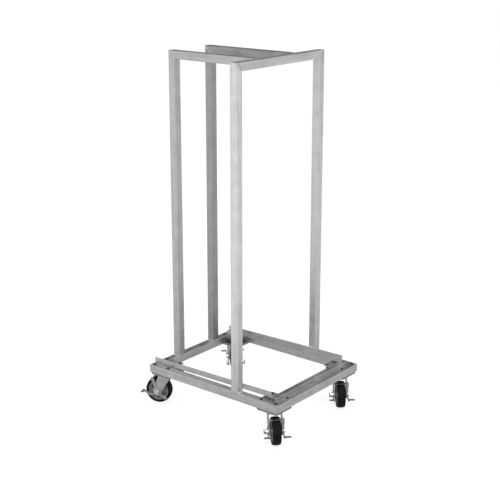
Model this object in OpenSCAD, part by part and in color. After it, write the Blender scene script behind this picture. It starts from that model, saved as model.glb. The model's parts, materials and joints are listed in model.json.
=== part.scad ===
/* [Square tube] */
// Outer size of the square tube that the frame is made of
tube_size = 38.1; // [35:0.1:42]
// Wall of the square tube
tube_wall = 2; // [1.5:0.1:3]
// Outer corner radius of the square tube
tube_corner = 3; // [2:0.1:5]

/* [Base] */
// Width of the base over its side rails
base_width = 626; // [580:1:720]
// Length of the base over its front and back rails
base_length = 760; // [700:1:860]
// Side of the square gusset plate in each inner corner of the base
gusset_size = 76; // [74:1:90]
// Thickness of the gusset plates
gusset_thickness = 4.8; // [3:0.1:8]

/* [Cage] */
// Height of the cage above the base rails
cage_height = 1467; // [900:1:1700]
// Distance from the front end of the base to the front uprights
front_setback = 220.5; // [180:0.5:300]
// Clear gap between the two back uprights
back_gap = 213.4; // [160:0.2:300]

/* [Load ledges] */
// Leg of the equal angle that the ledges and the front riser are cut from
angle_leg = 25.4; // [20:0.1:32]
// Thickness of the angle
angle_thickness = 3; // [2:0.1:4]
// Height of the front riser above the rails, which tips the ledges backwards
riser_height = 12.7; // [6:0.1:18]
// Length of ledge that lies on the riser
ledge_lap = 3.5; // [2:0.5:20]

/* [Caster mounting] */
// Side of the square top plate of a caster
plate_size = 114; // [106:1:120]
// Thickness of the top plate
plate_thickness = 4.5; // [3:0.1:7]
// Spacing of the four plate bolts along each side
bolt_spacing = 82; // [78:0.5:88]
// Diameter of the plate bolts
bolt_diameter = 8; // [6:0.1:9]
// Diameter of the domed bolt heads
bolt_head_diameter = 14; // [12:0.1:16]
// Height of the domed bolt heads
bolt_head_height = 3.6; // [2.5:0.1:5]
// Width across the flats of the plate nuts
nut_flats = 13; // [12:0.1:15]
// Height of the plate nuts
nut_height = 6.5; // [5:0.1:7.5]
// Length of bolt that shows below its nut
bolt_tip = 2; // [1:0.1:2.5]
// Outer diameter of the spacer sleeve on each innermost bolt
sleeve_diameter = 16; // [13:0.1:20]

/* [Caster fork] */
// Horizontal distance from the swivel axis to the axle
trail = 44; // [38:0.5:48]
// Free height between the tyre and the fork crown
fork_clearance = 12; // [9:0.25:16]
// Thickness of the fork crown
crown_thickness = 4; // [3:0.1:5]
// Distance from the swivel axis to the front edge of the fork legs
leg_front = 18; // [14:0.5:24]
// Distance from the rear edge of the fork legs to the axle
leg_back = 6; // [2:0.5:10]
// Thickness of the fork legs
leg_thickness = 3.5; // [2.5:0.1:4.5]
// Height of the upright front edge of the fork legs
leg_shoulder = 10; // [8:0.5:20]
// Radius of the rounded foot of the fork legs
foot_radius = 20; // [16:0.5:22]
// Height of the ball race between the top plate and the crown
race_height = 11.25; // [10:0.25:14]
// Diameter of the ball race
race_diameter = 62; // [54:0.5:66]
// Diameter of the kingpin
kingpin_diameter = 16; // [13:0.1:18]
// Diameter of the kingpin head
kingpin_head_diameter = 26; // [22:0.1:30]
// Height of the kingpin head
kingpin_head_height = 4; // [3:0.1:6]
// Diameter of the washer under the crown
washer_diameter = 36; // [30:0.5:40]
// Thickness of the washer under the crown
washer_thickness = 3.5; // [2:0.1:4]
// Width across the flats of the kingpin nut
kingpin_nut_flats = 24; // [21:0.1:26]
// Height of the kingpin nut
kingpin_nut_height = 6.5; // [5:0.1:8]

/* [Wheel] */
// Diameter of the tyre
wheel_diameter = 127; // [120:1:135]
// Width of the tyre
tyre_width = 38; // [32:0.5:42]
// Radius of the tread's crown across the wheel
tread_crown = 60; // [40:1:120]
// Diameter of the seat between the rim and the tyre
rim_diameter = 100; // [96:0.5:106]
// Width of the rim
rim_width = 34; // [26:0.5:36]
// Thickness of the rim ring
rim_thickness = 7; // [5:0.1:8]
// Length of the hub
hub_length = 57; // [48:0.5:60]
// Diameter of the hub
hub_diameter = 34; // [30:0.5:36]
// Thickness of the web between the hub and the rim
web_thickness = 24; // [16:0.5:25]
// Number of round pockets in each side of the web
web_pockets = 6; // [4:1:6]
// Diameter of the pockets
pocket_diameter = 18; // [12:0.5:19]
// Depth of the pockets
pocket_depth = 10; // [4:0.5:11]

/* [Axle] */
// Diameter of the axle bolt
axle_diameter = 12.7; // [10:0.1:13]
// Outer diameter of the bushing that the wheel turns on
bushing_diameter = 17.4; // [16:0.1:22]
// Width across the flats of the axle bolt head and nut
axle_flats = 19; // [17:0.1:22]
// Height of the axle bolt head
axle_head_height = 6; // [4:0.1:8]
// Height of the axle nut
axle_nut_height = 7; // [5:0.1:9]

/* [Brake] */
// Thickness of the brake lever's side arms
arm_thickness = 3; // [2:0.1:4]
// Radius of the side arms' eye round the axle
eye_radius = 22; // [18:0.5:24]
// Width of the side arms towards the pedal and the release tab
arm_width = 11; // [8:0.5:14]
// Distance from the axle to the pedal, behind the wheel
pedal_reach = 68; // [62:0.5:74]
// Drop of the pedal arm below the axle at its knee
knee_drop = 17; // [12:0.5:20]
// Length of the pedal out from its arm
pedal_length = 24; // [16:0.5:28]
// Distance from the axle to the release tab, in front
release_reach = 42; // [34:0.5:46]
// Drop of the release tab below the axle
release_drop = 29; // [22:0.5:32]
// Length of the release tab out from its arm
tab_reach = 11; // [8:0.5:16]
// Height of the turned up lip of the release tab
tab_lip = 17; // [10:0.5:20]
// Length of the pedal and of the release tab along the wheel
tab_length = 13; // [10:0.5:18]
// Width of the side arms towards the bar across the tread
bar_arm_width = 15; // [13:0.5:18]
// Width of the bar across the tread
bar_width = 12; // [8:0.5:12]
// Angle of the bar behind the top of the tread
bar_angle = 20; // [14:1:26]
// Gap between the bar and the tread
bar_gap = 2; // [1:0.1:3]

/* [Rest pose] */
// Direction in which the front left wheel trails
front_left_angle = 226; // [0:1:359]
// Direction in which the front right wheel trails
front_right_angle = 222; // [0:1:359]
// Direction in which the back left wheel trails
back_left_angle = 114; // [0:1:359]
// Direction in which the back right wheel trails
back_right_angle = 48; // [0:1:359]

/* [Clearances] */
// Radial clearance of a turning fit
running_clearance = 0.1; // [0.05:0.01:0.1]
// Gap between faces that turn past each other
side_gap = 0.3; // [0.25:0.05:0.4]
// Radial clearance of a bolt in its hole
hole_clearance = 0.3; // [0.2:0.05:0.5]
// Radial clearance of a nut on its thread
thread_clearance = 0.05; // [0.02:0.01:0.1]
// Gap between a ledge and the front upright beside it
ledge_gap = 0.3; // [0.1:0.05:0.8]

/* [Hidden] */
$fn = 96;
cut = 1;
hex = 6;

axle_height = wheel_diameter / 2;
crown_bottom = wheel_diameter + fork_clearance;
crown_top = crown_bottom + crown_thickness;
race_top = crown_top + race_height;
rail_bottom = race_top + plate_thickness;
rail_top = rail_bottom + tube_size;
cage_top = rail_top + cage_height;

half_width = base_width / 2;
half_length = base_length / 2;
inner_half_width = half_width - tube_size;
inner_half_length = half_length - tube_size;
front_post_front = -half_length + front_setback;
front_post_back = front_post_front + tube_size;
back_post_x = back_gap / 2 + tube_size / 2;
inner_corner = max(tube_corner - tube_wall, 0.5);

caster_inset = tube_size / 2 + bolt_spacing / 2;
caster_x = half_width - caster_inset;
caster_y = half_length - caster_inset;
gusset_bottom = rail_top - gusset_thickness;
hole_diameter = bolt_diameter + 2 * hole_clearance;

riser_top = rail_top + riser_height;
riser_front = -half_length + tube_size;
riser_back = riser_front + angle_leg;
ledge_front = riser_back - ledge_lap;
ledge_tilt = atan(riser_height / (half_length - riser_back));
ledge_length = (half_length - ledge_front) / cos(ledge_tilt);

fork_gap = hub_length + 2 * side_gap;
fork_inner = fork_gap / 2;
fork_outer = fork_inner + leg_thickness;
leg_rear = trail - leg_back;
arm_inner = fork_outer + side_gap;
arm_outer = arm_inner + arm_thickness;
axle_shoulder = arm_outer + side_gap;
bar_radius = wheel_diameter / 2 + bar_gap + arm_thickness / 2;
washer_top = crown_bottom - side_gap;
washer_bottom = washer_top - washer_thickness;
tyre_radius = wheel_diameter / 2;
rim_radius = rim_diameter / 2;
pocket_circle = (rim_radius - rim_thickness + hub_diameter / 2) / 2 + cut;

FRONT_LEFT = [-1, -1, front_left_angle];
FRONT_RIGHT = [1, -1, front_right_angle];
BACK_LEFT = [-1, 1, back_left_angle];
BACK_RIGHT = [1, 1, back_right_angle];
CORNERS = [FRONT_LEFT, FRONT_RIGHT, BACK_LEFT, BACK_RIGHT];

frame_colour = [0.78, 0.78, 0.77];
zinc_colour = [0.62, 0.63, 0.64];
rim_colour = [0.36, 0.36, 0.37];
rubber_colour = [0.09, 0.09, 0.09];

// Point where a line from p touches the circle round c, on the side given by its sign
function tangent_point(p, c, r, side) =
  let (v = p - c)
  let (a = atan2(v[1], v[0]) + side * acos(r / norm(v)))
  c + r * [cos(a), sin(a)];

module rounded_square(size, radius) {
  flat = size - 2 * radius;
  square([size, flat], center = true);
  square([flat, size], center = true);
  for (sx = [-1, 1])
    for (sy = [-1, 1])
      translate([sx * flat / 2, sy * flat / 2])
        circle(r = radius);
}

// Square tube standing on the origin
module tube(length) {
  linear_extrude(length)
    difference() {
      rounded_square(tube_size, tube_corner);
      rounded_square(tube_size - 2 * tube_wall, inner_corner);
    }
}

// Outline in the XZ plane, extruded through y1 to y2
module slab_xz(points, y1, y2) {
  translate([0, y2, 0])
    rotate([90, 0, 0])
      linear_extrude(y2 - y1)
        polygon(points);
}

// Outline in the YZ plane, extruded through x1 to x2
module slab_yz(points, x1, x2) {
  translate([x1, 0, 0])
    rotate([90, 0, 90])
      linear_extrude(x2 - x1)
        polygon(points);
}

// Places the children at each of the four bolts of each caster
module at_bolts() {
  for (c = CORNERS)
    for (dx = [-1, 1])
      for (dy = [-1, 1])
        translate([
          c[0] * caster_x + dx * bolt_spacing / 2,
          c[1] * caster_y + dy * bolt_spacing / 2,
          0
        ])
          children();
}

module bolt_holes() {
  at_bolts()
    translate([0, 0, rail_bottom - plate_thickness - cut])
      cylinder(d = hole_diameter, h = tube_size + plate_thickness + 2 * cut);
}

// Side rail on the side given by its sign, mitred at both ends
module side_rail(side) {
  color(frame_colour)
    difference() {
      intersection() {
        translate([side * (half_width - tube_size / 2), half_length, rail_bottom + tube_size / 2])
          rotate([90, 0, 0])
            tube(base_length);
        translate([0, 0, rail_bottom - cut])
          linear_extrude(tube_size + 2 * cut)
            polygon([
              [side * half_width, -half_length],
              [side * half_width, half_length],
              [side * inner_half_width, inner_half_length],
              [side * inner_half_width, -inner_half_length]
            ]);
      }
      bolt_holes();
    }
}

// Front or back rail, mitred at both ends
module end_rail(end) {
  color(frame_colour)
    difference() {
      intersection() {
        translate([-half_width, end * (half_length - tube_size / 2), rail_bottom + tube_size / 2])
          rotate([90, 0, 90])
            tube(base_width);
        translate([0, 0, rail_bottom - cut])
          linear_extrude(tube_size + 2 * cut)
            polygon([
              [-half_width, end * half_length],
              [half_width, end * half_length],
              [inner_half_width, end * inner_half_length],
              [-inner_half_width, end * inner_half_length]
            ]);
      }
      bolt_holes();
    }
}

// Plates in the inner corners, flush with the tops of the rails
module corner_gussets() {
  color(frame_colour)
    difference() {
      for (c = CORNERS)
        translate([
          c[0] * (inner_half_width - gusset_size / 2),
          c[1] * (inner_half_length - gusset_size / 2),
          gusset_bottom + gusset_thickness / 2
        ])
          cube([gusset_size, gusset_size, gusset_thickness], center = true);
      bolt_holes();
    }
}

// Angle with its upright leg outboard, tipped down to the back rail
module ledge(side) {
  color(frame_colour)
    translate([0, half_length, rail_top])
      rotate([-ledge_tilt, 0, 0])
        mirror([side > 0 ? 1 : 0, 0, 0])
          translate([ledge_gap - inner_half_width, -ledge_length, 0]) {
            cube([angle_thickness, ledge_length, angle_leg]);
            cube([angle_leg, ledge_length, angle_thickness]);
          }
}

// Inverted angle behind the front rail, coped over the two front gussets
module front_riser() {
  cope = gusset_size + side_gap;
  color(frame_colour)
    difference() {
      slab_yz([
        [riser_front, riser_top - angle_leg],
        [riser_front + angle_thickness, riser_top - angle_leg],
        [riser_front + angle_thickness, riser_top - angle_thickness],
        [riser_back, riser_top - angle_thickness],
        [riser_back, riser_top],
        [riser_front, riser_top]
      ], -inner_half_width, inner_half_width);
      for (side = [-1, 1])
        translate([
          side * (inner_half_width - (cope - cut) / 2),
          riser_front + angle_thickness / 2,
          rail_top - angle_leg / 2
        ])
          cube([cope + cut, angle_thickness + 2 * cut, angle_leg], center = true);
    }
}

// Front upright, mitred into the cross bar
module front_upright(side) {
  color(frame_colour)
    intersection() {
      translate([side * (half_width - tube_size / 2), front_post_front + tube_size / 2, rail_top])
        tube(cage_height);
      slab_xz([
        [side * half_width, rail_top - cut],
        [side * half_width, cage_top],
        [side * inner_half_width, cage_top - tube_size],
        [side * inner_half_width, rail_top - cut]
      ], front_post_front - cut, front_post_back + cut);
    }
}

// Back upright, mitred into its top bar
module back_upright(side) {
  color(frame_colour)
    intersection() {
      translate([side * back_post_x, half_length - tube_size / 2, rail_top])
        tube(cage_height);
      slab_yz([
        [half_length, rail_top - cut],
        [half_length, cage_top],
        [inner_half_length, cage_top - tube_size],
        [inner_half_length, rail_top - cut]
      ], side * back_post_x - tube_size, side * back_post_x + tube_size);
    }
}

module top_cross_bar() {
  color(frame_colour)
    intersection() {
      translate([-half_width, front_post_front + tube_size / 2, cage_top - tube_size / 2])
        rotate([90, 0, 90])
          tube(base_width);
      slab_xz([
        [-half_width, cage_top],
        [half_width, cage_top],
        [inner_half_width, cage_top - tube_size],
        [-inner_half_width, cage_top - tube_size]
      ], front_post_front - cut, front_post_back + cut);
    }
}

// Bar from a back upright forward to the back of the cross bar
module top_bar(side) {
  color(frame_colour)
    intersection() {
      translate([side * back_post_x, half_length, cage_top - tube_size / 2])
        rotate([90, 0, 0])
          tube(half_length - front_post_back);
      slab_yz([
        [front_post_back, cage_top],
        [half_length, cage_top],
        [inner_half_length, cage_top - tube_size],
        [front_post_back, cage_top - tube_size]
      ], side * back_post_x - tube_size, side * back_post_x + tube_size);
    }
}

// Domed head on the rail, and a shank down through the top plate
module caster_bolts() {
  dome_radius = (pow(bolt_head_diameter / 2, 2) + pow(bolt_head_height, 2)) / (2 * bolt_head_height);
  tip_bottom = rail_bottom - plate_thickness - nut_height - bolt_tip;
  color(zinc_colour)
    at_bolts() {
      translate([0, 0, tip_bottom])
        cylinder(d = bolt_diameter, h = rail_top - tip_bottom + cut);
      intersection() {
        translate([0, 0, rail_top + bolt_head_height - dome_radius])
          sphere(r = dome_radius);
        translate([0, 0, rail_top])
          cylinder(d = bolt_head_diameter, h = 2 * bolt_head_height);
      }
    }
}

module caster_nuts() {
  color(zinc_colour)
    at_bolts()
      translate([0, 0, rail_bottom - plate_thickness - nut_height])
        difference() {
          cylinder(d = nut_flats / cos(180 / hex), h = nut_height, $fn = hex);
          translate([0, 0, -cut])
            cylinder(d = bolt_diameter + 2 * thread_clearance, h = nut_height + 2 * cut);
        }
}

// Sleeves between the gussets and the top plates, one on each innermost bolt
module spacer_sleeves() {
  color(zinc_colour)
    for (c = CORNERS)
      translate([
        c[0] * (caster_x - bolt_spacing / 2),
        c[1] * (caster_y - bolt_spacing / 2),
        rail_bottom
      ])
        difference() {
          cylinder(d = sleeve_diameter, h = gusset_bottom - rail_bottom);
          translate([0, 0, -cut])
            cylinder(d = hole_diameter, h = tube_size + 2 * cut);
        }
}

module at_corner(c) {
  translate([c[0] * caster_x, c[1] * caster_y, 0])
    children();
}

// Local +X trails from the swivel axis to the axle
module at_fork(c) {
  at_corner(c)
    rotate([0, 0, c[2]])
      children();
}

// Local Z runs along the axle
module at_axle(c) {
  at_fork(c)
    translate([trail, 0, axle_height])
      rotate([90, 0, 0])
        children();
}

module caster_plate(c) {
  color(zinc_colour)
    difference() {
      at_corner(c)
        translate([0, 0, race_top + plate_thickness / 2])
          cube([plate_size, plate_size, plate_thickness], center = true);
      bolt_holes();
      at_corner(c)
        translate([0, 0, race_top - cut])
          cylinder(d = kingpin_diameter, h = plate_thickness + 2 * cut);
    }
}

// Cup and cone of the ball race, fixed under the top plate
module caster_race(c) {
  cone_height = race_height / 2;
  cone_step = race_height / 4;
  at_corner(c)
    color(zinc_colour)
      rotate_extrude()
        polygon([
          [kingpin_diameter / 2, crown_top + side_gap],
          [race_diameter / 2 - cone_step, crown_top + side_gap],
          [race_diameter / 2, crown_top + cone_height],
          [race_diameter / 2, race_top],
          [kingpin_diameter / 2, race_top]
        ]);
}

// Head on the top plate, washer and nut under the crown
module caster_kingpin(c) {
  nut_bottom = washer_bottom - kingpin_nut_height;
  at_corner(c)
    color(zinc_colour) {
      translate([0, 0, rail_bottom])
        cylinder(d = kingpin_head_diameter, h = kingpin_head_height);
      translate([0, 0, nut_bottom])
        cylinder(d = kingpin_diameter, h = rail_bottom - nut_bottom + cut);
      translate([0, 0, washer_bottom])
        cylinder(d = washer_diameter, h = washer_thickness);
      translate([0, 0, nut_bottom])
        cylinder(d = kingpin_nut_flats / cos(180 / hex), h = kingpin_nut_height, $fn = hex);
    }
}

// Outline of a fork leg, drawn from the swivel axis and the floor
module leg_outline() {
  foot = [trail, axle_height];
  front = [-leg_front, crown_top - leg_shoulder];
  rear = [leg_rear, crown_top];
  polygon([
    [-leg_front, crown_top],
    front,
    tangent_point(front, foot, foot_radius, 1),
    foot,
    tangent_point(rear, foot, foot_radius, -1),
    rear
  ]);
  translate(foot)
    circle(r = foot_radius);
}

// Round crown under the ball race, with a leg down each side of the wheel
module caster_fork(c) {
  axle_hole = axle_diameter + 2 * thread_clearance;
  color(zinc_colour)
    at_fork(c)
      difference() {
        union() {
          translate([0, 0, crown_bottom])
            cylinder(d = race_diameter, h = crown_thickness);
          translate([-leg_front, -fork_outer, crown_bottom])
            cube([leg_front + leg_rear, 2 * fork_outer, crown_thickness]);
          for (y = [fork_outer, -fork_inner])
            translate([0, y, 0])
              rotate([90, 0, 0])
                linear_extrude(leg_thickness)
                  leg_outline();
        }
        translate([0, 0, crown_bottom - cut])
          cylinder(d = kingpin_diameter + 2 * running_clearance, h = crown_thickness + 2 * cut);
        translate([trail, fork_outer + cut, axle_height])
          rotate([90, 0, 0])
            cylinder(d = axle_hole, h = 2 * fork_outer + 2 * cut);
      }
}

module axle_bolt(c) {
  at_axle(c)
    color(zinc_colour) {
      translate([0, 0, -axle_shoulder - axle_nut_height - cut])
        cylinder(d = axle_diameter, h = 2 * axle_shoulder + axle_nut_height + 2 * cut);
      translate([0, 0, axle_shoulder])
        cylinder(d = axle_flats / cos(180 / hex), h = axle_head_height, $fn = hex);
    }
}

module axle_nut(c) {
  at_axle(c)
    color(zinc_colour)
      translate([0, 0, -axle_shoulder - axle_nut_height])
        difference() {
          cylinder(d = axle_flats / cos(180 / hex), h = axle_nut_height, $fn = hex);
          translate([0, 0, -cut])
            cylinder(d = axle_diameter + 2 * thread_clearance, h = axle_nut_height + 2 * cut);
        }
}

// Tube clamped between the fork legs
module axle_bushing(c) {
  at_axle(c)
    color(zinc_colour)
      difference() {
        cylinder(d = bushing_diameter, h = fork_gap, center = true);
        cylinder(d = axle_diameter + 2 * thread_clearance, h = fork_gap + 2 * cut, center = true);
      }
}

// Hub, web with a ring of pockets in each side, and rim ring
module wheel_rim(c) {
  bore = bushing_diameter + 2 * running_clearance;
  ring_inner = rim_radius - rim_thickness;
  at_axle(c)
    color(rim_colour)
      difference() {
        union() {
          cylinder(d = hub_diameter, h = hub_length, center = true);
          cylinder(r = ring_inner + cut, h = web_thickness, center = true);
          difference() {
            cylinder(r = rim_radius, h = rim_width, center = true);
            cylinder(r = ring_inner, h = rim_width + 2 * cut, center = true);
          }
        }
        cylinder(d = bore, h = hub_length + 2 * cut, center = true);
        for (i = [0 : web_pockets - 1])
          for (side = [-1, 1])
            rotate([0, 0, 90 + i * 360 / web_pockets])
              translate([pocket_circle, 0, side * (web_thickness + cut - pocket_depth) / 2])
                cylinder(d = pocket_diameter, h = pocket_depth + cut, center = true);
      }
}

// Solid tyre with a crowned tread
module wheel_tyre(c) {
  at_axle(c)
    color(rubber_colour)
      rotate_extrude()
        intersection() {
          translate([rim_radius, -tyre_width / 2])
            square([tyre_radius - rim_radius, tyre_width]);
          translate([tyre_radius - tread_crown, 0])
            circle(r = tread_crown, $fn = 180);
        }
}

// Flat strip from p to a round pad at q, a little wider than the strip
module strip(p, q, width) {
  pad = 0.5;
  v = q - p;
  translate(p)
    rotate(atan2(v[1], v[0]))
      translate([0, -width / 2])
        square([norm(v), width]);
  translate(q)
    circle(d = width + 2 * pad);
}

// Side arm with its pedal and release tab, on the side of positive Y
module brake_arm() {
  low = [0, -eye_radius / 2];
  knee = [pedal_reach / 2, -knee_drop];
  release = [-release_reach, -release_drop];
  bar = bar_radius * [sin(bar_angle), cos(bar_angle)];
  tab_end = arm_outer + tab_reach;
  tab_half = arm_thickness / 2;
  difference() {
    union() {
      translate([0, arm_outer, 0])
        rotate([90, 0, 0])
          linear_extrude(arm_thickness) {
            circle(r = eye_radius);
            strip(low, knee, arm_width);
            strip(knee, [pedal_reach, 0], arm_width);
            strip(low, release, arm_width);
            strip([0, 0], bar, bar_arm_width);
          }
      translate([pedal_reach - tab_length / 2, arm_inner, -tab_half])
        cube([tab_length, arm_thickness + pedal_length, arm_thickness]);
      slab_yz([
        [arm_inner, release[1] - tab_half],
        [tab_end, release[1] - tab_half],
        [tab_end, release[1] + tab_lip],
        [tab_end - arm_thickness, release[1] + tab_lip],
        [tab_end - arm_thickness, release[1] + tab_half],
        [arm_inner, release[1] + tab_half]
      ], release[0] - tab_length / 2, release[0] + tab_length / 2);
    }
    translate([0, (arm_inner + arm_outer) / 2, 0])
      rotate([90, 0, 0])
        cylinder(
          d = axle_diameter + 2 * running_clearance,
          h = arm_thickness + 2 * cut,
          center = true
        );
  }
}

// Two side arms joined by a flat bar across the tread
module brake_lever(c) {
  at_fork(c)
    color(zinc_colour)
      translate([trail, 0, axle_height]) {
        brake_arm();
        mirror([0, 1, 0])
          brake_arm();
        rotate([0, bar_angle, 0])
          translate([0, 0, bar_radius])
            cube([bar_width, 2 * arm_inner + cut, arm_thickness], center = true);
      }
}

side_rail(-1);  // base_rail_left
side_rail(1);  // base_rail_right
end_rail(-1);  // base_rail_front
end_rail(1);  // base_rail_back
corner_gussets();
ledge(-1);  // ledge_left
ledge(1);  // ledge_right
front_riser();
front_upright(-1);  // upright_front_left
front_upright(1);  // upright_front_right
back_upright(-1);  // upright_back_left
back_upright(1);  // upright_back_right
top_cross_bar();
top_bar(-1);  // top_bar_left
top_bar(1);  // top_bar_right
caster_bolts();
caster_nuts();
spacer_sleeves();
caster_plate(FRONT_LEFT);  // caster_front_left_plate
caster_race(FRONT_LEFT);  // caster_front_left_race
caster_kingpin(FRONT_LEFT);  // caster_front_left_kingpin
caster_fork(FRONT_LEFT);  // caster_front_left_fork
axle_bolt(FRONT_LEFT);  // caster_front_left_axle_bolt
axle_nut(FRONT_LEFT);  // caster_front_left_axle_nut
axle_bushing(FRONT_LEFT);  // caster_front_left_bushing
wheel_rim(FRONT_LEFT);  // caster_front_left_rim
wheel_tyre(FRONT_LEFT);  // caster_front_left_tyre
brake_lever(FRONT_LEFT);  // caster_front_left_brake
caster_plate(FRONT_RIGHT);  // caster_front_right_plate
caster_race(FRONT_RIGHT);  // caster_front_right_race
caster_kingpin(FRONT_RIGHT);  // caster_front_right_kingpin
caster_fork(FRONT_RIGHT);  // caster_front_right_fork
axle_bolt(FRONT_RIGHT);  // caster_front_right_axle_bolt
axle_nut(FRONT_RIGHT);  // caster_front_right_axle_nut
axle_bushing(FRONT_RIGHT);  // caster_front_right_bushing
wheel_rim(FRONT_RIGHT);  // caster_front_right_rim
wheel_tyre(FRONT_RIGHT);  // caster_front_right_tyre
brake_lever(FRONT_RIGHT);  // caster_front_right_brake
caster_plate(BACK_LEFT);  // caster_back_left_plate
caster_race(BACK_LEFT);  // caster_back_left_race
caster_kingpin(BACK_LEFT);  // caster_back_left_kingpin
caster_fork(BACK_LEFT);  // caster_back_left_fork
axle_bolt(BACK_LEFT);  // caster_back_left_axle_bolt
axle_nut(BACK_LEFT);  // caster_back_left_axle_nut
axle_bushing(BACK_LEFT);  // caster_back_left_bushing
wheel_rim(BACK_LEFT);  // caster_back_left_rim
wheel_tyre(BACK_LEFT);  // caster_back_left_tyre
brake_lever(BACK_LEFT);  // caster_back_left_brake
caster_plate(BACK_RIGHT);  // caster_back_right_plate
caster_race(BACK_RIGHT);  // caster_back_right_race
caster_kingpin(BACK_RIGHT);  // caster_back_right_kingpin
caster_fork(BACK_RIGHT);  // caster_back_right_fork
axle_bolt(BACK_RIGHT);  // caster_back_right_axle_bolt
axle_nut(BACK_RIGHT);  // caster_back_right_axle_nut
axle_bushing(BACK_RIGHT);  // caster_back_right_bushing
wheel_rim(BACK_RIGHT);  // caster_back_right_rim
wheel_tyre(BACK_RIGHT);  // caster_back_right_tyre
brake_lever(BACK_RIGHT);  // caster_back_right_brake
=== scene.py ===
import json
import math

import bpy
from mathutils import Matrix, Vector


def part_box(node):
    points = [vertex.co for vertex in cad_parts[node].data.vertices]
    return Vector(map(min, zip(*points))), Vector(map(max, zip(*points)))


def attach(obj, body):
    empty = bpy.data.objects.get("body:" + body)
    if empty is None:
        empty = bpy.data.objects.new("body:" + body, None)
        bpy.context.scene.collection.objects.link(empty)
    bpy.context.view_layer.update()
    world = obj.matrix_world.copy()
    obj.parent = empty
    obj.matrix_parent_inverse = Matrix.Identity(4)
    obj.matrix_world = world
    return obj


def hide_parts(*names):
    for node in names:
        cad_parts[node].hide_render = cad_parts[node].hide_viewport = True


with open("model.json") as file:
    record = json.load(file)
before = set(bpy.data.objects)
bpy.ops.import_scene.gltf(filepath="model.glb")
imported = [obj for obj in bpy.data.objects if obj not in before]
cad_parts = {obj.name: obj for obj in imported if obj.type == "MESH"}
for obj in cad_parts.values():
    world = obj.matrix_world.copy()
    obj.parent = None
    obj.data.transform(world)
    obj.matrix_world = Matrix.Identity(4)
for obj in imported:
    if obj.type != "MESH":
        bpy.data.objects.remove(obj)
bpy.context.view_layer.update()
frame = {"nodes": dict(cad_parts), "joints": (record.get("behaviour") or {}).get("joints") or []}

MM = 0.001
CORNERS = ("front_left", "front_right", "back_left", "back_right")
JOINTS = {joint["name"]: joint for joint in frame["joints"]}

# Camera, in metres and degrees
CAMERA_PLACE = (-3.860, -3.097, 2.238)
CAMERA_AZIMUTH = -51.06
CAMERA_ELEVATION = 15.34
CAMERA_LENS = 80.6
CAMERA_SHIFT = -0.05
CAMERA_SENSOR = 36

# Places closer than this are one: points that meet, and the corners of a CAD node
MEETING = 1e-6
CORNER_SPAN = 1e-5


# Selecting and editing

def deselect():
    if bpy.context.mode != "OBJECT":
        bpy.ops.object.mode_set(mode="OBJECT")
    bpy.ops.object.select_all(action="DESELECT")


def activate(obj):
    deselect()
    obj.select_set(True)
    bpy.context.view_layer.objects.active = obj


def edit(obj, kind="VERT"):
    """Edit mode with everything selected."""
    activate(obj)
    bpy.ops.object.mode_set(mode="EDIT")
    bpy.ops.mesh.select_mode(type=kind)
    bpy.ops.mesh.select_all(action="SELECT")


def edit_where(obj, kind, test):
    """Edit mode with only the vertices, edges or faces selected whose points all pass the test."""
    edit(obj, kind)
    bpy.ops.mesh.select_all(action="DESELECT")
    bpy.ops.object.mode_set(mode="OBJECT")
    mesh = obj.data
    places = [v.co.copy() for v in mesh.vertices]
    if kind == "VERT":
        for v in mesh.vertices:
            v.select = test(places[v.index])
    else:
        for part in mesh.edges if kind == "EDGE" else mesh.polygons:
            part.select = all(test(places[i]) for i in part.vertices)
    bpy.ops.object.mode_set(mode="EDIT")


def apply_modifiers(obj):
    activate(obj)
    for modifier in list(obj.modifiers):
        bpy.ops.object.modifier_apply(modifier=modifier.name)


def smooth(obj, angle=35):
    """Smooth shading up to an angle, with the broad faces kept flat."""
    activate(obj)
    bpy.ops.object.shade_smooth_by_angle(angle=math.radians(angle))
    obj.modifiers.new("Weighted", "WEIGHTED_NORMAL").keep_sharp = True
    apply_modifiers(obj)


def bevel_edges(obj, width, angle=30):
    modifier = obj.modifiers.new("Bevel", "BEVEL")
    modifier.width = width
    modifier.segments = 2
    modifier.limit_method = "ANGLE"
    modifier.angle_limit = math.radians(angle)
    apply_modifiers(obj)


def clear_slivers(obj, threshold):
    """Takes out the faces without area that bevels leave where they meet."""
    edit(obj)
    bpy.ops.mesh.dissolve_degenerate(threshold=threshold)
    bpy.ops.object.mode_set(mode="OBJECT")
    return obj


def named(obj, name):
    obj.name = name
    obj.data.name = name
    return obj


def moved(obj, matrix):
    """Puts a turn or a shift into the mesh, so that the object stays at the origin."""
    obj.data.transform(matrix)
    obj.data.update()
    return obj


def copied(obj, name, matrix):
    twin = bpy.data.objects.new(name, obj.data.copy())
    twin.data.name = name
    bpy.context.scene.collection.objects.link(twin)
    return moved(twin, matrix)


def joined(objects, name):
    deselect()
    for obj in objects:
        obj.select_set(True)
    bpy.context.view_layer.objects.active = objects[0]
    if len(objects) > 1:
        bpy.ops.object.join()
    return named(objects[0], name)


def at_origin(obj):
    activate(obj)
    bpy.ops.object.transform_apply(location=True, rotation=True, scale=True)
    return obj


def cylinder(name, radius, bottom, top, sides=64, caps="NGON"):
    deselect()
    bpy.ops.mesh.primitive_cylinder_add(
        vertices=sides,
        radius=radius,
        depth=top - bottom,
        end_fill_type=caps,
        location=(0, 0, (top + bottom) / 2),
    )
    return at_origin(named(bpy.context.active_object, name))


def block(name, low, high):
    deselect()
    low, high = Vector(low), Vector(high)
    bpy.ops.mesh.primitive_cube_add(size=1, location=(low + high) / 2)
    obj = named(bpy.context.active_object, name)
    obj.scale = high - low
    return at_origin(obj)


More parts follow.
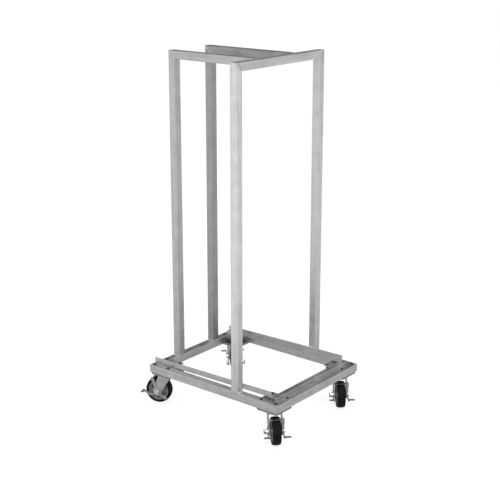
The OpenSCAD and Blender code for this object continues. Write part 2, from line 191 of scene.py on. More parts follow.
def lathe(name, outline, steps=96):
    """Closed outline of (radius, height) points, drawn point by point and spun round Z."""
    deselect()
    bpy.ops.mesh.primitive_plane_add(size=1)
    obj = named(bpy.context.active_object, name)
    edit(obj)
    bpy.ops.mesh.merge(type="CENTER")
    places = [Vector((radius, 0, height)) for radius, height in outline]
    bpy.ops.transform.translate(value=places[0])
    for here, there in zip(places, places[1:]):
        bpy.ops.mesh.extrude_region_move(TRANSFORM_OT_translate={"value": there - here})
    first, last = places[0], places[-1]
    edit_where(obj, "VERT", lambda p: (p - first).length < MEETING or (p - last).length < MEETING)
    bpy.ops.mesh.edge_face_add()
    bpy.ops.mesh.select_all(action="SELECT")
    bpy.ops.mesh.spin(steps=steps, angle=2 * math.pi, center=(0, 0, 0), axis=(0, 0, 1))
    bpy.ops.mesh.select_all(action="SELECT")
    bpy.ops.mesh.remove_doubles(threshold=MEETING)
    bpy.ops.mesh.normals_make_consistent(inside=False)
    bpy.ops.object.mode_set(mode="OBJECT")
    return obj


def cut(obj, cutters):
    """Takes the cutters out of a piece and removes them."""
    tool = joined(cutters, "cutter")
    modifier = obj.modifiers.new("Cut", "BOOLEAN")
    modifier.operation = "DIFFERENCE"
    modifier.solver = "EXACT"
    modifier.object = tool
    apply_modifiers(obj)
    bpy.data.objects.remove(tool)
    return obj


def cad_copy(node, name, place=Matrix()):
    """Copy of a CAD node, moved back by the inverse of place, its triangles merged to flat faces."""
    obj = bpy.data.objects.new(name, frame["nodes"][node].data.copy())
    obj.data.name = name
    obj.data.materials.clear()
    bpy.context.scene.collection.objects.link(obj)
    moved(obj, place.inverted())
    edit(obj)
    bpy.ops.mesh.customdata_custom_splitnormals_clear()
    bpy.ops.mesh.remove_doubles(threshold=MEETING)
    bpy.ops.mesh.dissolve_limited(angle_limit=math.radians(0.5))
    bpy.ops.object.mode_set(mode="OBJECT")
    return obj


def local_box(node, place):
    """Lowest and highest corner of a CAD node in the axes of place."""
    back = place.inverted()
    points = [back @ v.co for v in frame["nodes"][node].data.vertices]
    low = Vector([min(p[i] for p in points) for i in range(3)])
    high = Vector([max(p[i] for p in points) for i in range(3)])
    return low, high


# Materials

def linear(hex_code):
    """sRGB hex to linear red, green, blue and alpha."""
    channels = [int(hex_code[i : i + 2], 16) / 255 for i in (0, 2, 4)]
    return [c / 12.92 if c <= 0.04045 else ((c + 0.055) / 1.055) ** 2.4 for c in channels] + [1]


def add(tree, kind, settings=None, values=None, links=None):
    """Adds a node with its settings, its input values and what feeds it."""
    made = tree.nodes.new(kind)
    for key, value in (settings or {}).items():
        setattr(made, key, value)
    for key, value in (values or {}).items():
        made.inputs[key].default_value = value
    for key, source in (links or {}).items():
        tree.links.new(source, made.inputs[key])
    return made


def new_material(name, **sockets):
    material = bpy.data.materials.new(name)
    material.use_nodes = True
    tree = material.node_tree
    shader = tree.nodes["Principled BSDF"]
    for key, value in sockets.items():
        shader.inputs[key.replace("_", " ")].default_value = value
    place = add(tree, "ShaderNodeTexCoord").outputs["Object"]
    return material, tree, shader, place


def grain(tree, place, size_mm, detail=2.0, roughness=0.5):
    """Noise whose blobs have the given sizes in millimetres along X, Y and Z."""
    scale = [1 / (size * MM) for size in size_mm]
    mapped = add(tree, "ShaderNodeMapping", values={"Scale": scale}, links={"Vector": place})
    noise = add(
        tree,
        "ShaderNodeTexNoise",
        values={"Scale": 1.0, "Detail": detail, "Roughness": roughness},
        links={"Vector": mapped.outputs["Vector"]},
    )
    return noise.outputs["Fac"]


def spread(tree, source, low, high, start=0.3, end=0.7):
    """Maps the useful middle of a noise to the range from low to high."""
    values = {"From Min": start, "From Max": end, "To Min": low, "To Max": high}
    return add(tree, "ShaderNodeMapRange", values=values, links={"Value": source}).outputs["Result"]


def blend(tree, factor, first, second):
    """Mixes two hex colours by a factor."""
    mix = add(tree, "ShaderNodeMix", {"data_type": "RGBA"}, links={"Factor": factor})
    mix.inputs[6].default_value = linear(first)
    mix.inputs[7].default_value = linear(second)
    return mix.outputs[2]


def total(tree, first, second, weight):
    """first + weight * second."""
    node = add(
        tree,
        "ShaderNodeMath",
        {"operation": "MULTIPLY_ADD"},
        values={1: weight},
        links={0: second, 2: first},
    )
    return node.outputs["Value"]


def finish(tree, shader, tone, colours, roughness, useful=(0.3, 0.7)):
    """Colour and roughness that follow one pattern, each between its two values."""
    colour = blend(tree, spread(tree, tone, 0, 1, *useful), *colours)
    tree.links.new(colour, shader.inputs["Base Color"])
    tree.links.new(spread(tree, tone, *roughness, *useful), shader.inputs["Roughness"])


def relief(tree, shader, height, depth_mm, strength):
    bump = add(
        tree,
        "ShaderNodeBump",
        values={"Strength": strength, "Distance": depth_mm * MM},
        links={"Height": height},
    )
    tree.links.new(bump.outputs["Normal"], shader.inputs["Normal"])


def brushed_aluminium(name, along, dark="BABAB8", light="DDDEDD"):
    """Extruded 6063 tube, belt brushed along its length.
    The eye gets long fine streaks, soft reflections and a faint cloudiness from handling."""
    streak = [1.6, 1.6, 1.6]
    streak[along] = 160
    broad = [9, 9, 9]
    broad[along] = 420
    material, tree, shader, place = new_material(name, Metallic=1.0)
    # Real brush lines are about 0.1 mm apart, which is drawn as 1.6 mm so that it shows
    fine = grain(tree, place, streak, detail=4, roughness=0.65)
    bands = grain(tree, place, broad)
    cloud = grain(tree, place, (45, 45, 45), detail=4, roughness=0.6)
    mixed = total(tree, fine, bands, 0.6)
    tint = total(tree, mixed, cloud, 0.8)
    finish(tree, shader, tint, (dark, light), (0.3, 0.5), useful=(0.9, 1.45))
    relief(tree, shader, fine, 0.05, 0.22)
    return material


def aluminium_weld():
    """TIG bead of 4043 filler, left as welded, and satin. Its colour is lighter than the tube's, a
    painted highlight for the glints on the bead.
    """
    material, tree, shader, place = new_material("aluminium_weld", Metallic=1.0)
    heat = grain(tree, place, (3, 3, 3), detail=3)
    finish(tree, shader, heat, ("C4C4C2", "EEEEEC"), (0.28, 0.48))
    relief(tree, shader, heat, 0.08, 0.3)
    return material


def weld_soot():
    """Grey smut beside a weld bead: dull, patchy and darker than the tube."""
    material, tree, shader, place = new_material("weld_soot", Metallic=0.85)
    smut = grain(tree, place, (5, 5, 5), detail=4, roughness=0.6)
    finish(tree, shader, smut, ("6A6A69", "A2A2A0"), (0.5, 0.7))
    relief(tree, shader, smut, 0.04, 0.2)
    return material


def zinc_plate(name, dark, light):
    """Pressed steel with bright zinc plate.
    The eye gets a cool grey metal with soft patches, duller where the plating is thicker."""
    material, tree, shader, place = new_material(name, Metallic=1.0)
    patch = grain(tree, place, (26, 26, 26), detail=3)
    speck = grain(tree, place, (1.1, 1.1, 1.1), detail=2)
    tone = total(tree, patch, speck, 0.35)
    finish(tree, shader, tone, (dark, light), (0.26, 0.44), useful=(0.5, 0.85))
    relief(tree, shader, speck, 0.03, 0.2)
    return material


def bright_zinc_bolt(name, dark, light):
    """Zinc-plated turned and headed steel: the brightest metal on the caster."""
    material, tree, shader, place = new_material(name, Metallic=1.0)
    tarnish = grain(tree, place, (4, 4, 4), detail=3)
    finish(tree, shader, tarnish, (dark, light), (0.16, 0.32))
    relief(tree, shader, tarnish, 0.02, 0.15)
    return material


def dark_screw():
    """Black-oxide steel screw: nearly black, with a low oily sheen."""
    material, tree, shader, place = new_material("black_oxide_screw", Metallic=1.0)
    wear = grain(tree, place, (2.5, 2.5, 2.5), detail=3)
    finish(tree, shader, wear, ("3A3A3B", "5A5A5A"), (0.3, 0.5))
    relief(tree, shader, wear, 0.03, 0.2)
    return material


def tyre_rubber():
    """Moulded grey-black rubber: a broad dull sheen, paler where the floor has scuffed it."""
    material, tree, shader, place = new_material("moulded_rubber", Metallic=0.0, Specular_IOR_Level=0.18)
    scuff = grain(tree, place, (9, 9, 9), detail=4, roughness=0.6)
    pore = grain(tree, place, (0.9, 0.9, 0.9), detail=2)
    tone = total(tree, scuff, pore, 0.3)
    finish(tree, shader, tone, ("070707", "141415"), (0.5, 0.7), useful=(0.5, 0.85))
    relief(tree, shader, pore, 0.08, 0.35)
    return material


def rim_polyolefin():
    """Moulded grey polyolefin: even colour, soft satin gloss, faint flow marks."""
    material, tree, shader, place = new_material("moulded_polyolefin", Metallic=0.0, IOR=1.49)
    flow = grain(tree, place, (22, 22, 22), detail=2)
    pore = grain(tree, place, (0.8, 0.8, 0.8), detail=2)
    tone = total(tree, flow, pore, 0.25)
    finish(tree, shader, tone, ("707173", "8E9092"), (0.36, 0.5), useful=(0.45, 0.8))
    relief(tree, shader, pore, 0.05, 0.2)
    return material


TUBE_X = brushed_aluminium("brushed_aluminium_across", 0)
TUBE_Y = brushed_aluminium("brushed_aluminium_lengthwise", 1)
TUBE_Z = brushed_aluminium("brushed_aluminium_upright", 2)
# Lit and shaded copies of the tube's finish: painted light makes the front left post brighter than the
# rest, and painted shade makes the back posts and the side top bars darker, the right ones most
PAINTED_LIT_Z = brushed_aluminium("painted_light_aluminium_upright", 2, "C8C8C6", "EBECEB")
PAINTED_SHADE_Y = brushed_aluminium("painted_shade_aluminium_lengthwise", 1, "ABABA9", "CDCECD")
PAINTED_SHADE_Z = brushed_aluminium("painted_shade_aluminium_upright", 2, "ABABA9", "CDCECD")
PAINTED_DEEP_SHADE_Y = brushed_aluminium("painted_deep_shade_aluminium_lengthwise", 1, "929290", "B1B2B1")
PAINTED_DEEP_SHADE_Z = brushed_aluminium("painted_deep_shade_aluminium_upright", 2, "929290", "B1B2B1")
WELD = aluminium_weld()
SOOT = weld_soot()
FORK_ZINC = zinc_plate("bright_zinc_plate", "B4B6B8", "CCCECE")
# Darker zinc for the brakes than for the forks
BRAKE_ZINC = zinc_plate("darker_zinc_plate", "A2A4A5", "BEC0C0")
# Darker zinc for the caster plates: painted shade for the shadow under the rails
PAINTED_SHADE_PLATE_ZINC = zinc_plate("painted_shade_zinc_plate", "8E9092", "A8AAAA")
BOLT = bright_zinc_bolt("zinc_plated_bolt", "C8CACC", "ECECEC")
# Lighter zinc for the axle bolts and nuts: a painted highlight for the glint on the axle head
PAINTED_GLINT_AXLE = bright_zinc_bolt("zinc_plated_axle_painted_highlight", "E4E6E8", "FAFAFA")
SCREW = dark_screw()
RUBBER = tyre_rubber()
RIM = rim_polyolefin()


def dress(obj, material, slot, body, *nodes):
    """Gives a piece its finish and its body, and hides the CAD nodes that it stands for."""
    obj.data.materials.clear()
    obj.data.materials.append(material)
    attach(obj, body)
    if nodes:
        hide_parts(*nodes)
    return obj


# Frame: tubes, ledges and gussets with softened edges, whose widths are in millimetres

TUBE_EDGE = 0.35
LEDGE_EDGE = 0.6
GUSSET_EDGE = 0.5
CASTER_SMOOTH = 40

FRAME_PARTS = {
    "base_rail_left": (TUBE_Y, TUBE_EDGE),
    "base_rail_right": (TUBE_Y, TUBE_EDGE),
    "base_rail_front": (TUBE_X, TUBE_EDGE),
    "base_rail_back": (TUBE_X, TUBE_EDGE),
    # The posts and the side top bars take the copies with painted light and painted shade
    "upright_front_left": (PAINTED_LIT_Z, TUBE_EDGE),
    "upright_front_right": (TUBE_Z, TUBE_EDGE),
    "upright_back_left": (PAINTED_SHADE_Z, TUBE_EDGE),
    "upright_back_right": (PAINTED_DEEP_SHADE_Z, TUBE_EDGE),
    "top_cross_bar": (TUBE_X, TUBE_EDGE),
    "top_bar_left": (PAINTED_SHADE_Y, TUBE_EDGE),
    "top_bar_right": (PAINTED_DEEP_SHADE_Y, TUBE_EDGE),
    "ledge_left": (TUBE_Y, LEDGE_EDGE),
    "ledge_right": (TUBE_Y, LEDGE_EDGE),
    "front_riser": (TUBE_X, LEDGE_EDGE),
    "corner_gussets": (TUBE_X, GUSSET_EDGE),
}

for node, (material, edge_mm) in FRAME_PARTS.items():
    piece = cad_copy(node, node + "_metal")
    bevel_edges(piece, edge_mm * MM)
    smooth(piece)
    dress(piece, material, "frame_aluminium", "frame", node)


# Welds

WELD_PITCH = 1.6 * MM
WELD_RADIUS = 3.0 * MM
FLAT_SINK = 2.0 * MM
FILLET_SINK = 0.7 * MM
SOOT_WIDTH = 7.5 * MM
SOOT_DEPTH = 0.12 * MM
SOOT_SLOPE = 0.9
# A ripple's waist and belly, and the inset and rise of a bead's end, as shares of its radius
RIPPLE_WAIST = 0.9
RIPPLE_BELLY = 1.16
END_INSET = 0.3
END_RISE = 0.25
BEAD_SIDES = 12
BEAD_SMOOTH = 60


def weld_run(length):
    """Rippled bead along Z from the origin: one ripple, repeated and closed at its ends."""
    count = max(3, round(length / WELD_PITCH))
    pitch = length / count
    radius = WELD_RADIUS * RIPPLE_WAIST
    run = cylinder("weld_run", radius, 0, pitch, sides=BEAD_SIDES, caps="NOTHING")
    for height in (pitch / 3, pitch * 2 / 3):
        edit(run, "EDGE")
        bpy.ops.mesh.bisect(plane_co=(0, 0, height), plane_no=(0, 0, 1))
        bpy.ops.object.mode_set(mode="OBJECT")
    edit_where(run, "VERT", lambda p: MEETING < p.z < pitch - MEETING)
    swell = (RIPPLE_BELLY, RIPPLE_BELLY, 1)
    bpy.ops.transform.resize(value=swell, center_override=(0, 0, pitch / 2))
    bpy.ops.object.mode_set(mode="OBJECT")
    array = run.modifiers.new("Array", "ARRAY")
    array.count = count
    array.use_relative_offset = False
    array.use_constant_offset = True
    array.constant_offset_displace = (0, 0, pitch)
    array.use_merge_vertices = True
    array.merge_threshold = MEETING
    apply_modifiers(run)
    for end in (0, length):
        edit_where(run, "VERT", lambda p: abs(p.z - end) < MEETING)
        bpy.ops.mesh.edge_face_add()
        bpy.ops.mesh.inset(thickness=WELD_RADIUS * END_INSET, depth=WELD_RADIUS * END_RISE)
        bpy.ops.object.mode_set(mode="OBJECT")
    edit(run)
    bpy.ops.mesh.normals_make_consistent(inside=False)
    bpy.ops.object.mode_set(mode="OBJECT")
    activate(run)
    bpy.ops.object.shade_smooth_by_angle(angle=math.radians(BEAD_SMOOTH))
    return run


weld_runs = {}
welds = []
soot = []


def weld(start, end, outward, sink):
    """Bead from start to end, sunk below the seam against the outward direction."""
    start, end, outward = Vector(start), Vector(end), Vector(outward).normalized()
    length = (end - start).length
    key = round(length, 4)
    if key not in weld_runs:
        weld_runs[key] = weld_run(length)
    turn = (end - start).to_track_quat("Z", "Y").to_matrix().to_4x4()
    place = Matrix.Translation(start - outward * sink) @ turn
    welds.append(copied(weld_runs[key], "weld", place))


def soot_strip(start, end, outward):
    """Thin film on the faces on both sides of a flat bead."""
    start, end, outward = Vector(start), Vector(end), Vector(outward).normalized()
    run = end - start
    along = run.normalized()
    across = outward.cross(along)
    low = (0, -SOOT_WIDTH / 2, -SOOT_DEPTH)
    high = (run.length, SOOT_WIDTH / 2, SOOT_DEPTH)
    strip = block("soot", low, high)
    bevel_edges(strip, SOOT_DEPTH * SOOT_SLOPE)
    turn = Matrix((along, across, outward)).transposed().to_4x4()
    soot.append(moved(strip, Matrix.Translation(start) @ turn))


def weld_flat(start, end, outward):
    weld(start, end, outward, FLAT_SINK)
    soot_strip(start, end, outward)


def weld_fillet(start, end, outward):
    weld(start, end, outward, FILLET_SINK)


cross_low, cross_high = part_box("top_cross_bar")
rail_low, rail_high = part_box("base_rail_left")
back_low, back_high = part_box("base_rail_back")
tube = rail_high.x - rail_low.x
rail_top = rail_high.z
cage_top = cross_high.z
EDGE = 3.2 * MM
# On top of the base a mitre's bead stops short of the bolt, after this share of the tube's width
TOP_MITRE = 0.28

# Feet of the front uprights
for side, node in ((-1, "upright_front_left"), (1, "upright_front_right")):
    low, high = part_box(node)
    outer = low.x if side < 0 else high.x
    inner = high.x if side < 0 else low.x
    for y, way in ((low.y, -1), (high.y, 1)):
        weld_fillet(
            (low.x + EDGE, y, rail_top), (high.x - EDGE, y, rail_top), (0, way, 1)
        )
    weld_flat((outer, low.y + EDGE, rail_top), (outer, high.y - EDGE, rail_top), (side, 0, 0))
    # Mitre at the top, on its front and back faces and in its inner corner
    for y, way in ((low.y, -1), (high.y, 1)):
        weld_flat(
            (outer - side * EDGE, y, cage_top - EDGE),
            (inner + side * EDGE, y, cage_top - tube + EDGE),
            (0, way, 0),
        )
    weld_fillet(
        (inner, low.y + EDGE, cage_top - tube),
        (inner, high.y - EDGE, cage_top - tube),
        (-side, 0, -1),
    )

# Feet of the back uprights, their mitres, and the butt joints of the top bars
for node in ("upright_back_left", "upright_back_right"):
    low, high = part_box(node)
    for x, way in ((low.x, -1), (high.x, 1)):
        weld_fillet(
            (x, low.y + EDGE, rail_top), (x, high.y - EDGE, rail_top), (way, 0, 1)
        )
        weld_flat(
            (x, high.y - EDGE, cage_top - EDGE),
            (x, low.y + EDGE, cage_top - tube + EDGE),
            (way, 0, 0),
        )
        weld_fillet(
            (x, cross_high.y, cage_top - EDGE),
            (x, cross_high.y, cage_top - tube + EDGE),
            (way, 1, 0),
        )
    for y, way in ((low.y, -1), (high.y, 1)):
        weld_flat((low.x + EDGE, y, rail_top), (high.x - EDGE, y, rail_top), (0, way, 0))
    weld_fillet(
        (low.x + EDGE, low.y, cage_top - tube),
        (high.x - EDGE, low.y, cage_top - tube),
        (0, -1, -1),
    )
    for z, way in ((cage_top, 1), (cage_top - tube, -1)):
        weld_flat(
            (low.x + EDGE, cross_high.y, z), (high.x - EDGE, cross_high.y, z), (0, 0, way)
        )

# Mitres of the base, on top and underneath
for sx in (-1, 1):
    for sy in (-1, 1):
        corner_x = rail_low.x if sx < 0 else -rail_low.x
        corner_y = back_high.y * sy
        for z, way in ((rail_top, 1), (rail_low.z, -1)):
            reach = tube - EDGE if way < 0 else tube * TOP_MITRE
            weld_flat(
                (corner_x - sx * EDGE, corner_y - sy * EDGE, z),
                (corner_x - sx * reach, corner_y - sy * reach, z),
                (0, 0, way),
            )

# Ledges: on the back rail, and along the top of the upright leg on the front upright
riser_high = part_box("front_riser")[1]
ledge_slope = (riser_high.z - rail_top) / (back_high.y - riser_high.y)
for side, name in ((-1, "left"), (1, "right")):
    low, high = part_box("ledge_" + name)
    outer = low.x if side < 0 else high.x
    inner = high.x if side < 0 else low.x
    weld_fillet(
        (inner, high.y - tube + EDGE, rail_top),
        (inner, high.y - EDGE, rail_top),
        (-side, 0, 1),
    )
    post_low, post_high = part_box("upright_front_" + name)
    near_y = post_low.y + EDGE
    far_y = post_high.y - EDGE
    weld_fillet(
        (outer, near_y, high.z - ledge_slope * (near_y - low.y)),
        (outer, far_y, high.z - ledge_slope * (far_y - low.y)),
        (-side, 0, 1),
    )

weld_piece = joined(welds, "weld_beads")
for run in weld_runs.values():
    bpy.data.objects.remove(run)
dress(weld_piece, WELD, "frame_aluminium", "frame")
dress(joined(soot, "weld_soot"), SOOT, "frame_aluminium", "frame")


# Caster bolts: domed head with a hex socket, shank and chamfered tip

def caster_places():
    places = {}
    for corner in CORNERS:
        swivel = Vector(JOINTS[corner + "_swivel"]["pos_m"])
        axle = Vector(JOINTS[corner + "_wheel_spin"]["pos_m"])
        trail = axle - swivel
        turn = Matrix.Rotation(math.atan2(trail.y, trail.x), 4, "Z")
        places[corner] = Matrix.Translation((swivel.x, swivel.y, 0)) @ turn
    return places


PLACES = caster_places()
HOME = PLACES["front_left"]
bolt_low, bolt_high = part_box("caster_bolts")
nut_low, nut_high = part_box("caster_nuts")
HEAD_RADIUS = 7 * MM
SHANK_RADIUS = 4 * MM
HEX_RADIUS = 3 * MM
# The dome and the socket's floor, as shares of the head's height
DOME = 0.85
SOCKET_FLOOR = 0.3
TIP_CHAMFER = 0.7 * MM
UNDER_HEAD = 0.2 * MM
STEEL_EDGE = 0.5 * MM
# Radians per metre of the bolt's place, so that no two sockets point the same way
HEAD_TURN = (7, 5)


def model_bolt():
    head_height = bolt_high.z - rail_top
    head = cylinder("bolt_head", HEAD_RADIUS, 0, head_height, sides=48)
    edit_where(head, "FACE", lambda p: p.z > head_height - MEETING)
    bpy.ops.mesh.bevel(offset=head_height * DOME, segments=6, profile=0.5, affect="EDGES")
    bpy.ops.object.mode_set(mode="OBJECT")
    floor = head_height * SOCKET_FLOOR
    socket = cylinder("socket", HEX_RADIUS, floor, head_height + MM, sides=6)
    cut(head, [socket])
    shank = cylinder("bolt_shank", SHANK_RADIUS, bolt_low.z - rail_top, -UNDER_HEAD, sides=32)
    edit_where(shank, "FACE", lambda p: p.z < bolt_low.z - rail_top + MEETING)
    bpy.ops.mesh.bevel(offset=TIP_CHAMFER, segments=1, affect="EDGES")
    bpy.ops.object.mode_set(mode="OBJECT")
    return head, shank


head, shank = model_bolt()
smooth(head, CASTER_SMOOTH)
smooth(shank, CASTER_SMOOTH)
heads, shanks = [], []
for corner, place in PLACES.items():
    centre = place.translation
    edge_x = math.copysign(bolt_high.x - HEAD_RADIUS, centre.x)
    edge_y = math.copysign(bolt_high.y - HEAD_RADIUS, centre.y)
    for x in (edge_x, 2 * centre.x - edge_x):
        for y in (edge_y, 2 * centre.y - edge_y):
            turn = Matrix.Rotation(x * HEAD_TURN[0] + y * HEAD_TURN[1], 4, "Z")
            spot = Matrix.Translation((x, y, rail_top)) @ turn
            heads.append(copied(head, "bolt_head_copy", spot))
            shanks.append(copied(shank, "bolt_shank_copy", spot))
bpy.data.objects.remove(head)
bpy.data.objects.remove(shank)
bolt_heads = joined(heads, "caster_bolt_heads")
bolt_shanks = joined(shanks, "caster_bolt_shanks")
dress(bolt_heads, SCREW, "zinc_steel", "frame", "caster_bolts")
dress(bolt_shanks, SCREW, "zinc_steel", "frame", "caster_bolts")

for node in ("caster_nuts", "spacer_sleeves"):
    piece = cad_copy(node, node + "_metal")
    bevel_edges(piece, STEEL_EDGE)
    smooth(piece)
    dress(piece, SCREW, "zinc_steel", "frame", node)


# Casters, each piece made at the front left one and copied to the others

def arc(centre, radius, start, end, count):
    """Points on an arc, in (radius, height), from one angle in degrees to another."""
    steps = [start + (end - start) * i / count for i in range(count + 1)]
    return [
        (
            centre[0] + radius * math.cos(math.radians(a)),
            centre[1] + radius * math.sin(math.radians(a)),
        )
        for a in steps
    ]


def mirrored(half):
    """An outline from the middle outwards, and back on the other side."""
    return [(r, -h) for r, h in reversed(half)] + [(r, h) for r, h in half]


def onto_axle(obj):
    """From a lathe's Z to the axle, in the caster's own axes."""
    axle = local_box("caster_front_left_tyre", HOME)
    middle = (axle[0] + axle[1]) / 2
    return moved(obj, Matrix.Translation(middle) @ Matrix.Rotation(math.radians(90), 4, "X"))


def model_tyre():
    low, high = local_box("caster_front_left_tyre", HOME)
    rim_low, rim_high = local_box("caster_front_left_rim", HOME)
    radius = (high.z - low.z) / 2
    seat = (rim_high.z - rim_low.z) / 2
    half = (high.y - low.y) / 2
    crown = 60 * MM
    shoulder = 3.5 * MM
    lip = 1.2 * MM
    edge = half - shoulder
    tread = [
        (radius - crown + math.sqrt(crown**2 - (edge * i / 6) ** 2), edge * i / 6)
        for i in range(1, 7)
    ]
    turn = tread[-1][0] - shoulder
    outline = tread + arc((turn, edge), shoulder, 25, 85, 3)
    outline += [
        (turn - 1.0 * MM, half - 0.1 * MM),
        (turn - 1.6 * MM, half - 0.8 * MM),
        (seat + 4.2 * MM, half - 1.0 * MM),
        (seat + 3.6 * MM, half - 0.2 * MM),
        (seat + lip, half - 0.2 * MM),
        (seat + 0.2 * MM, half - lip),
        (seat, half - lip - 0.4 * MM),
    ]
    return onto_axle(lathe("tyre", mirrored(outline)))


def model_rim():
    low, high = local_box("caster_front_left_rim", HOME)
    seat = (high.z - low.z) / 2
    hub_half = (high.y - low.y) / 2
    bore = 8.9 * MM
    hub = 17 * MM
    flange = 19.5 * MM
    ring_half = 17 * MM
    ring = seat - 6.5 * MM
    web = 12 * MM
    floor = 2 * MM
    pockets = 6
    pocket_radius = 8.8 * MM
    past_face = 20 * MM
    half = [
        (seat - 0.2 * MM, 0),
        (seat - 0.2 * MM, ring_half - 1 * MM),
        (seat - 1 * MM, ring_half),
        (ring + 1.2 * MM, ring_half),
        (ring + 0.3 * MM, ring_half - 0.9 * MM),
        (ring, web + 3 * MM),
        (ring - 1 * MM, web + 1 * MM),
        (ring - 3 * MM, web),
        (hub + 4 * MM, web),
        (hub + 1.5 * MM, web + 1 * MM),
        (hub, web + 4 * MM),
        (hub - 1 * MM, hub_half - 3 * MM),
        (flange - 0.5 * MM, hub_half - 2.2 * MM),
        (flange, hub_half - 1.7 * MM),
        (flange, hub_half - 0.6 * MM),
        (flange - 0.6 * MM, hub_half),
        (bore, hub_half),
    ]
    body = lathe("rim", mirrored(half))
    pocket_circle = (ring + hub) / 2 + 0.5 * MM
    drills = []
    for i in range(pockets):
        turn = Matrix.Rotation(math.radians(90 + 360 / pockets * i), 4, "Z")
        for low_z, high_z in ((floor, past_face), (-past_face, -floor)):
            drill = cylinder("drill", pocket_radius, low_z, high_z, sides=40)
            drills.append(moved(drill, turn @ Matrix.Translation((pocket_circle, 0, 0))))
    cut(body, drills)
    bevel_edges(body, 0.6 * MM, angle=50)
    clear_slivers(body, 0.03 * MM)
    return onto_axle(named(body, "rim"))


def model_race():
    low, high = local_box("caster_front_left_race", HOME)
    radius = (high.x - low.x) / 2
    inner = 8.1 * MM
    z0, z1 = low.z, high.z
    middle = (z0 + z1) / 2
    outline = [
        (inner, z0),
        (radius - 5 * MM, z0),
        (radius - 3.4 * MM, z0 + 0.6 * MM),
        (radius - 2.2 * MM, z0 + 2.2 * MM),
        (radius - 2.0 * MM, middle - 0.9 * MM),
        (radius - 3.4 * MM, middle - 0.4 * MM),
        (radius - 3.4 * MM, middle + 0.3 * MM),
        (radius - 0.6 * MM, middle + 0.6 * MM),
        (radius, middle + 1.2 * MM),
        (radius, z1 - 2.6 * MM),
        (radius - 0.5 * MM, z1 - 1.6 * MM),
        (radius - 2.4 * MM, z1 - 0.5 * MM),
        (radius - 3.4 * MM, z1),
        (inner, z1),
    ]
    return lathe("race", outline, steps=72)


def model_fork():
    fork = cad_copy("caster_front_left_fork", "fork", HOME)
    high = local_box("caster_front_left_fork", HOME)[1]
    crown_top = high.z
    outer = high.y
    leg = 3.5 * MM
    crown = 4 * MM
    outer_bend = 5 * MM
    inner_bend = 1.8 * MM

    def at_outer_bend(p):
        return abs(abs(p.y) - outer) < CORNER_SPAN and abs(p.z - crown_top) < CORNER_SPAN

    def at_inner_bend(p):
        on_leg = abs(abs(p.y) - (outer - leg)) < CORNER_SPAN
        return on_leg and abs(p.z - (crown_top - crown)) < CORNER_SPAN

    edit_where(fork, "EDGE", at_outer_bend)
    bpy.ops.mesh.bevel(offset=outer_bend, segments=6, affect="EDGES")
    edit_where(fork, "EDGE", at_inner_bend)
    bpy.ops.mesh.bevel(offset=inner_bend, segments=3, affect="EDGES")
    bpy.ops.object.mode_set(mode="OBJECT")
    bevel_edges(fork, STEEL_EDGE)
    return clear_slivers(fork, 0.01 * MM)


def model_plate(corner):
    """Top plate with rounded corners, in its own place."""
    node = "caster_" + corner + "_plate"
    plate = cad_copy(node, node + "_metal")
    low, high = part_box(node)
    corner_radius = 9 * MM

    def at_corner(p):
        x_edge = min(abs(p.x - low.x), abs(p.x - high.x)) < CORNER_SPAN
        return x_edge and min(abs(p.y - low.y), abs(p.y - high.y)) < CORNER_SPAN

    edit_where(plate, "EDGE", at_corner)
    bpy.ops.mesh.bevel(offset=corner_radius, segments=6, affect="EDGES")
    bpy.ops.object.mode_set(mode="OBJECT")
    bevel_edges(plate, STEEL_EDGE)
    return plate


def softened(part, edge_mm=0.4):
    piece = cad_copy("caster_front_left_" + part, part, HOME)
    bevel_edges(piece, edge_mm * MM)
    return piece


CASTER_PIECES = {
    "race": (model_race(), BOLT, "zinc_steel", "frame"),
    "kingpin": (softened("kingpin"), BOLT, "zinc_steel", "frame"),
    "fork": (model_fork(), FORK_ZINC, "zinc_steel", "_fork"),
    # The axle bolt and nut take the lighter zinc, a painted highlight
    "axle_bolt": (softened("axle_bolt", 0.6), PAINTED_GLINT_AXLE, "zinc_steel", "_fork"),
    "axle_nut": (softened("axle_nut", 0.6), PAINTED_GLINT_AXLE, "zinc_steel", "_fork"),
    "bushing": (softened("bushing"), BOLT, "zinc_steel", "_fork"),
    "rim": (model_rim(), RIM, "wheel_rim", "_wheel"),
    "tyre": (model_tyre(), RUBBER, "wheel_tyre", "_wheel"),
    "brake": (softened("brake", 0.6), BRAKE_ZINC, "zinc_steel", "_brake"),
}

for part, (piece, material, slot, body) in CASTER_PIECES.items():
    smooth(piece, CASTER_SMOOTH)
    for corner, place in PLACES.items():
        node = "caster_" + corner + "_" + part
        twin = copied(piece, node + "_piece", place)
        rides_on = body if body == "frame" else corner + body
        dress(twin, material, slot, rides_on, node)
    bpy.data.objects.remove(piece)

for corner in CORNERS:
    plate = model_plate(corner)
    smooth(plate)
    # The plates take the darker zinc, a painted shade
    dress(plate, PAINTED_SHADE_PLATE_ZINC, "zinc_steel", "frame", "caster_" + corner + "_plate")


# Studio: white floor and surroundings, soft light

# How bright the room is on the light side, and beyond the back right
ROOM_LIGHT = 0.80
ROOM_DARK = 0.12
DARK_WAY = (0.777, 0.629, 0.0)
ROOM_RANGE = (-0.1, 0.9)
# How bright the floor looks in the metal, close to the object and far away, in metres
FLOOR_NEAR = 0.45
FLOOR_FAR = 0.95
FLOOR_RANGE = (0.3, 2.2)
FLOOR_LEFT = 1.05
FLOOR_RIGHT = 0.88
FLOOR_SIDES = (-1.5, 1.5)
# The floor's glow that the camera sees, and the share of the glow in what it sees
FLOOR_GLOW = 1.34
GLOW_SHARE = 0.6


def mix_value(tree, factor, first, second):
    """Mixes two numbers, each a socket or a constant, by a factor."""
    mix = add(tree, "ShaderNodeMix", {"data_type": "FLOAT"}, links={0: factor})
    for index, value in ((2, first), (3, second)):
        if isinstance(value, float):
            mix.inputs[index].default_value = value
        else:
            tree.links.new(value, mix.inputs[index])
    return mix.outputs[0]


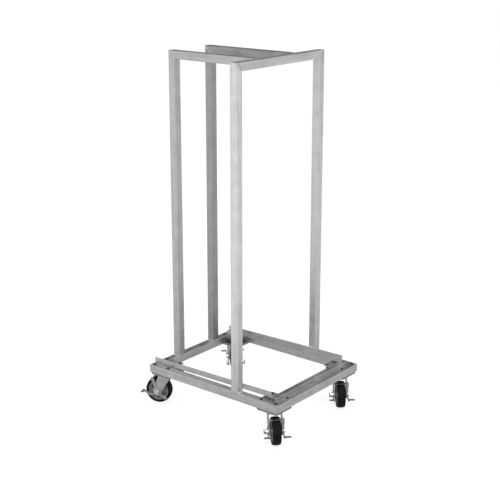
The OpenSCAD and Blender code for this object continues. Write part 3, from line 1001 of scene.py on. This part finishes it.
def studio_world():
    """White behind the object, which itself sees a softly graded room."""
    world = bpy.data.worlds.new("studio")
    bpy.context.scene.world = world
    world.use_nodes = True
    tree = world.node_tree
    tree.nodes.clear()
    path = add(tree, "ShaderNodeLightPath").outputs
    way = add(tree, "ShaderNodeTexCoord").outputs["Generated"]
    toward = add(
        tree,
        "ShaderNodeVectorMath",
        {"operation": "DOT_PRODUCT"},
        values={1: DARK_WAY},
        links={0: way},
    )
    room = spread(tree, toward.outputs["Value"], ROOM_LIGHT, ROOM_DARK, *ROOM_RANGE)
    level = mix_value(tree, path["Is Camera Ray"], room, 1.0)
    background = add(
        tree,
        "ShaderNodeBackground",
        values={"Color": (1, 1, 1, 1)},
        links={"Strength": level},
    )
    add(tree, "ShaderNodeOutputWorld", links={"Surface": background.outputs["Background"]})


def studio_floor():
    """Matt white floor with a faint shadow. In the metal it brightens with distance."""
    deselect()
    bpy.ops.mesh.primitive_plane_add(size=60, location=(0, 0, 0))
    floor = named(bpy.context.active_object, "studio_floor")
    material = bpy.data.materials.new("white_floor")
    material.use_nodes = True
    tree = material.node_tree
    shader = tree.nodes["Principled BSDF"]
    shader.inputs["Base Color"].default_value = linear("F4F4F4")
    shader.inputs["Roughness"].default_value = 0.9
    path = add(tree, "ShaderNodeLightPath").outputs
    place = add(tree, "ShaderNodeTexCoord").outputs["Object"]
    away = add(tree, "ShaderNodeVectorMath", {"operation": "LENGTH"}, links={0: place})
    reflected = spread(tree, away.outputs["Value"], FLOOR_NEAR, FLOOR_FAR, *FLOOR_RANGE)
    parts = add(tree, "ShaderNodeSeparateXYZ", links={"Vector": place}).outputs
    side = spread(tree, parts["X"], FLOOR_LEFT, FLOOR_RIGHT, *FLOOR_SIDES)
    graded = add(tree, "ShaderNodeMath", {"operation": "MULTIPLY"}, links={0: reflected, 1: side})
    level = mix_value(tree, path["Is Camera Ray"], graded.outputs["Value"], FLOOR_GLOW)
    share = mix_value(tree, path["Is Camera Ray"], 1.0, GLOW_SHARE)
    glow = add(
        tree, "ShaderNodeEmission", values={"Color": (1, 1, 1, 1)}, links={"Strength": level}
    )
    mix = add(
        tree,
        "ShaderNodeMixShader",
        links={0: share, 1: shader.outputs["BSDF"], 2: glow.outputs["Emission"]},
    )
    output = tree.nodes["Material Output"]
    tree.links.new(mix.outputs["Shader"], output.inputs["Surface"])
    floor.data.materials.append(material)


def softbox(name, place, target, size, watts):
    light = bpy.data.lights.new(name, "AREA")
    light.shape = "RECTANGLE"
    light.size, light.size_y = size
    light.energy = watts
    obj = bpy.data.objects.new(name, light)
    bpy.context.scene.collection.objects.link(obj)
    obj.location = place
    obj.rotation_euler = (Vector(target) - Vector(place)).to_track_quat("-Z", "Y").to_euler()


studio_world()
studio_floor()
softbox("key_light", place=(-3.6, -3.0, 3.6), target=(0, 0, 0.8), size=(2.4, 2.4), watts=60)
softbox("top_light", place=(0.2, 0.4, 4.2), target=(0, 0, 0.5), size=(2.5, 2.5), watts=15)


def photo_camera():
    camera = bpy.data.cameras.new("camera")
    camera.sensor_width = CAMERA_SENSOR
    camera.lens = CAMERA_LENS
    camera.shift_y = CAMERA_SHIFT
    obj = bpy.data.objects.new("camera", camera)
    bpy.context.scene.collection.objects.link(obj)
    obj.location = CAMERA_PLACE
    azimuth, elevation = math.radians(CAMERA_AZIMUTH), math.radians(CAMERA_ELEVATION)
    obj.rotation_euler = (math.pi / 2 - elevation, 0, azimuth)
    bpy.context.scene.camera = obj


photo_camera()
bpy.context.scene.view_settings.view_transform = "Standard"
